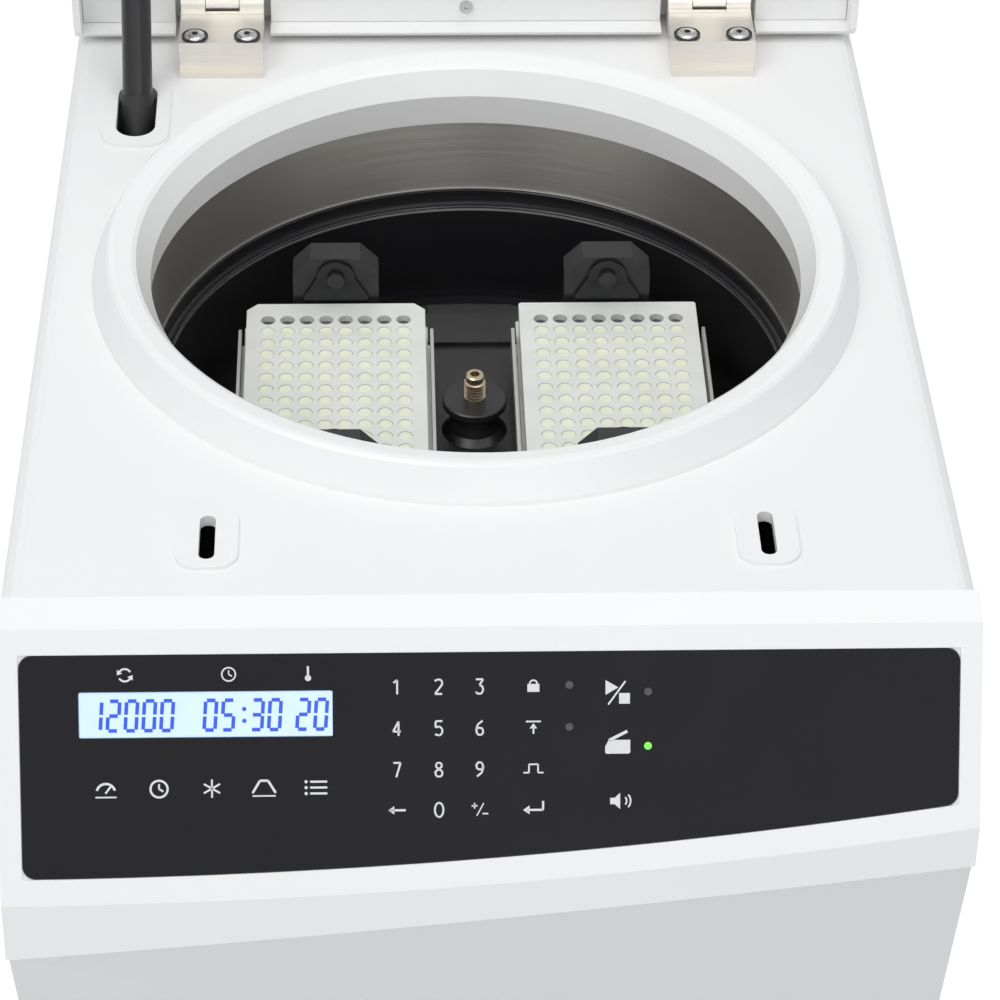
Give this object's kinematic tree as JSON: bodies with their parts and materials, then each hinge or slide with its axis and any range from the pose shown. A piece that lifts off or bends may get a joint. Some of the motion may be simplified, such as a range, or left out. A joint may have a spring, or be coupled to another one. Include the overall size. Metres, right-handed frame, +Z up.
{
  "type": "refrigerated microplate centrifuge",
  "caption": "Benchtop refrigerated centrifuge for microplates, with a hinged lid, swing-out plate carriers, a sloping membrane panel and a gas spring.",
  "frame": {"origin": "middle of the overall box, on the bench under the feet", "axes": "+Z up, the console front faces -Y, +X to the right of someone standing at the front"},
  "size_m": [0.392, 0.66, 0.779],
  "materials": {
    "housing_paint": "fine satin powder coat",
    "white_moulding": "fine satin moulded",
    "grey_moulding": "fine satin moulded",
    "membrane": "matt printed film",
    "display": "backlit, glossy",
    "lamp": "clear tinted",
    "circuit_board": "solder mask",
    "silicone": "smooth silicone",
    "stainless": "brushed round",
    "bowl_black": "dark coated, semi-gloss",
    "foam": "cut foam",
    "black_rubber": "smooth",
    "zinc_sheet": "plated sheet",
    "motor_grey": "satin",
    "steel": "turned",
    "anodised": "dark anodised, satin",
    "brass": "turned",
    "polystyrene": "moulded, milky",
    "port_glass": "clear",
    "nickel": "satin nickel",
    "black_tube": "satin",
    "aluminium_fin": "plain",
    "black_plastic": "fine textured"
  },
  "bodies": {
    "base": {"feet": "black_rubber", "housing": "housing_paint", "chassis_plate": "zinc_sheet", "rear_panel": "housing_paint", "deck_cover": "white_moulding", "front_console": "white_moulding", "lower_front": "grey_moulding", "membrane_panel": "membrane", "display_window": "display", "status_lamps": "lamp", "display_board": "circuit_board", "chamber_gasket": "silicone", "chamber_wall": "stainless", "chamber_bowl": "bowl_black", "insulation_jacket": "foam", "shaft_seal": "black_rubber", "motor_plate": "zinc_sheet", "motor_dampers": "black_rubber", "motor_housing": "motor_grey", "hinge_blocks": "nickel", "hinge_pins": "steel", "hinge_screws": "steel", "lock_bracket": "zinc_sheet", "spring_bracket": "zinc_sheet", "compressor": "black_tube", "condenser": "aluminium_fin", "fan_shroud": "black_plastic", "power_board": "circuit_board", "power_inlet": "black_plastic", "switch_frame": "black_plastic"},
    "rotor": {"motor_shaft": "steel", "rotor_yoke": "anodised", "rotor_cap": "anodised", "rotor_lock_screw": "brass", "trunnion_pins": "steel"},
    "carrier_l": {"carrier_left": "stainless", "microplate_left": "polystyrene"},
    "carrier_r": {"carrier_right": "stainless", "microplate_right": "polystyrene"},
    "lid": {"lid_shell": "white_moulding", "lid_inner_panel": "white_moulding", "lid_port": "port_glass", "lid_screws": "steel", "lid_hooks": "steel", "lid_knuckles": "nickel", "spring_stud": "steel"},
    "lock": {"lock_slide": "steel"},
    "strut_rod": {"spring_rod": "steel"},
    "strut_tube": {"spring_cylinder": "black_tube", "spring_collar": "black_plastic"},
    "fan": {"condenser_fan": "black_plastic"},
    "rocker": {"power_rocker": "black_plastic"}
  },
  "joints": [
    {"name": "lid_hinge", "type": "hinge", "parent": "base", "child": "lid", "pos_m": [0, 0.173, 0.348], "axis": [1, 0, 0], "range_deg": [0, 90]},
    {"name": "strut_swing", "type": "hinge", "parent": "base", "child": "strut_rod", "pos_m": [-0.157, 0.007, 0.157], "axis": [1, 0, 0], "range_deg": [-1, 5.79]},
    {"name": "strut_slide", "type": "slide", "parent": "strut_rod", "child": "strut_tube", "axis": [0, 0.5013, 0.8653], "range_m": [-0.1139, 0.002]},
    {"name": "rotor_spin", "type": "hinge", "parent": "base", "child": "rotor", "pos_m": [0, -0.034, 0.24], "axis": [0, 0, 1], "continuous": true},
    {"name": "carrier_left_swing", "type": "hinge", "parent": "rotor", "child": "carrier_l", "pos_m": [-0.0635, -0.034, 0.282], "axis": [0, 1, 0], "range_deg": [0, 90]},
    {"name": "carrier_right_swing", "type": "hinge", "parent": "rotor", "child": "carrier_r", "pos_m": [0.0635, -0.034, 0.282], "axis": [0, -1, 0], "range_deg": [0, 90]},
    {"name": "condenser_fan_spin", "type": "hinge", "parent": "base", "child": "fan", "pos_m": [0.084, 0.257, 0.095], "axis": [0, 1, 0], "continuous": true},
    {"name": "power_rocker_tilt", "type": "hinge", "parent": "base", "child": "rocker", "pos_m": [-0.06, 0.325, 0.06], "axis": [1, 0, 0], "range_deg": [0, 12]},
    {"name": "lock_slide_travel", "type": "slide", "parent": "base", "child": "lock", "axis": [1, 0, 0], "range_m": [0, 0.012]}
  ],
  "couplings": [
    {"joint": "strut_swing", "follows": "lid_hinge", "ratio": 0.05326},
    {"joint": "strut_slide", "follows": "lid_hinge", "m_per_rad": -0.07124}
  ]
}
